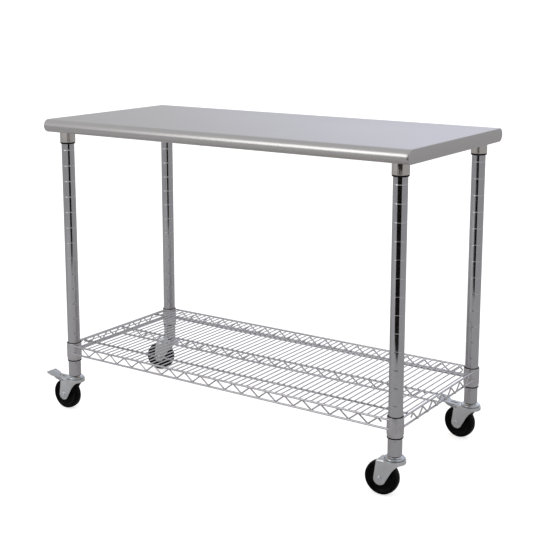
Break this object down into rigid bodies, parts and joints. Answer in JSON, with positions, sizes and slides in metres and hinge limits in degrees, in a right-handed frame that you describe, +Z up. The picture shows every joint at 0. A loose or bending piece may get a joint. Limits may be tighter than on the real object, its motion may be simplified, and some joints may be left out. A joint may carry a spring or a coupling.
{
  "type": "kitchen island cart",
  "caption": "Kitchen island cart with a rounded-edge stainless worktop, ring-grooved chrome posts, a low wire shelf and swivel casters with foot brakes.",
  "frame": {"origin": "on the floor, at the middle of the box that holds the whole cart with its casters trailing to -X", "axes": "+X along the worktop's length, -Y to the front, +Z up"},
  "size_m": [1.2756, 0.5748, 0.915],
  "materials": {
    "stainless": "brushed along the length",
    "board": "raw particle board",
    "galvanised": "galvanised sheet",
    "chrome_tube": "polished chrome plate",
    "wire_chrome": "chrome plated wire",
    "collar_plate": "satin chrome plate",
    "cast_socket": "satin nickel on a casting",
    "black_plastic": "moulded",
    "zinc_bright": "bright zinc plate",
    "hardware": "zinc plated",
    "ball_steel": "polished",
    "wheel_black": "hard glossy black"
  },
  "bodies": {
    "table": {"worktop_skin": "stainless", "worktop_board": "board", "left_channel": "galvanised", "right_channel": "galvanised", "socket_screws": "hardware", "front_left_post": "chrome_tube", "front_left_socket": "cast_socket", "front_left_shelf_collar": "collar_plate", "front_left_stem": "hardware", "front_left_raceway_cap": "zinc_bright", "front_right_post": "chrome_tube", "front_right_socket": "cast_socket", "front_right_shelf_collar": "collar_plate", "front_right_stem": "hardware", "front_right_raceway_cap": "zinc_bright", "back_left_post": "chrome_tube", "back_left_socket": "cast_socket", "back_left_shelf_collar": "collar_plate", "back_left_stem": "hardware", "back_left_raceway_cap": "zinc_bright", "back_right_post": "chrome_tube", "back_right_socket": "cast_socket", "back_right_shelf_collar": "collar_plate", "back_right_stem": "hardware", "back_right_raceway_cap": "zinc_bright", "post_plugs": "hardware", "socket_sleeves": "black_plastic", "shelf_sleeves": "black_plastic", "front_truss": "wire_chrome", "back_truss": "wire_chrome", "middle_truss": "wire_chrome", "left_end_truss": "wire_chrome", "right_end_truss": "wire_chrome", "front_stringer": "wire_chrome", "back_stringer": "wire_chrome", "deck_wires": "wire_chrome", "swivel_balls": "ball_steel"},
    "front_left_swivel": {"front_left_fork": "zinc_bright", "front_left_axle_bolt": "hardware", "front_left_brake_pin": "hardware"},
    "front_left_roller": {"front_left_wheel": "wheel_black", "front_left_bushing": "hardware"},
    "front_left_brake": {"front_left_brake_pedal": "zinc_bright"},
    "front_right_swivel": {"front_right_fork": "zinc_bright", "front_right_axle_bolt": "hardware"},
    "front_right_roller": {"front_right_wheel": "wheel_black", "front_right_bushing": "hardware"},
    "back_left_swivel": {"back_left_fork": "zinc_bright", "back_left_axle_bolt": "hardware"},
    "back_left_roller": {"back_left_wheel": "wheel_black", "back_left_bushing": "hardware"},
    "back_right_swivel": {"back_right_fork": "zinc_bright", "back_right_axle_bolt": "hardware", "back_right_brake_pin": "hardware"},
    "back_right_roller": {"back_right_wheel": "wheel_black", "back_right_bushing": "hardware"},
    "back_right_brake": {"back_right_brake_pedal": "zinc_bright"}
  },
  "joints": [
    {"name": "front_left_swivel_turn", "type": "hinge", "parent": "table", "child": "front_left_swivel", "pos_m": [-0.53375, -0.2344, 0.104], "axis": [0, 0, 1], "continuous": true},
    {"name": "front_left_wheel_spin", "type": "hinge", "parent": "front_left_swivel", "child": "front_left_roller", "pos_m": [-0.56775, -0.2344, 0.047], "axis": [0, 1, 0], "continuous": true},
    {"name": "front_left_brake_press", "type": "hinge", "parent": "front_left_swivel", "child": "front_left_brake", "pos_m": [-0.57375, -0.2344, 0.0945], "axis": [0, -1, 0], "range_deg": [0, 12]},
    {"name": "front_right_swivel_turn", "type": "hinge", "parent": "table", "child": "front_right_swivel", "pos_m": [0.59025, -0.2344, 0.104], "axis": [0, 0, 1], "continuous": true},
    {"name": "front_right_wheel_spin", "type": "hinge", "parent": "front_right_swivel", "child": "front_right_roller", "pos_m": [0.5563, -0.23618, 0.047], "axis": [-0.0523, 0.9986, 0], "continuous": true},
    {"name": "back_left_swivel_turn", "type": "hinge", "parent": "table", "child": "back_left_swivel", "pos_m": [-0.53375, 0.2344, 0.104], "axis": [0, 0, 1], "continuous": true},
    {"name": "back_left_wheel_spin", "type": "hinge", "parent": "back_left_swivel", "child": "back_left_roller", "pos_m": [-0.56609, 0.22389, 0.047], "axis": [-0.309, 0.9511, 0], "continuous": true},
    {"name": "back_right_swivel_turn", "type": "hinge", "parent": "table", "child": "back_right_swivel", "pos_m": [0.59025, 0.2344, 0.104], "axis": [0, 0, 1], "continuous": true},
    {"name": "back_right_wheel_spin", "type": "hinge", "parent": "back_right_swivel", "child": "back_right_roller", "pos_m": [0.55658, 0.23913, 0.047], "axis": [0.1392, 0.9903, 0], "continuous": true},
    {"name": "back_right_brake_press", "type": "hinge", "parent": "back_right_swivel", "child": "back_right_brake", "pos_m": [0.55064, 0.23997, 0.0945], "axis": [-0.1392, -0.9903, 0], "range_deg": [0, 12]}
  ]
}
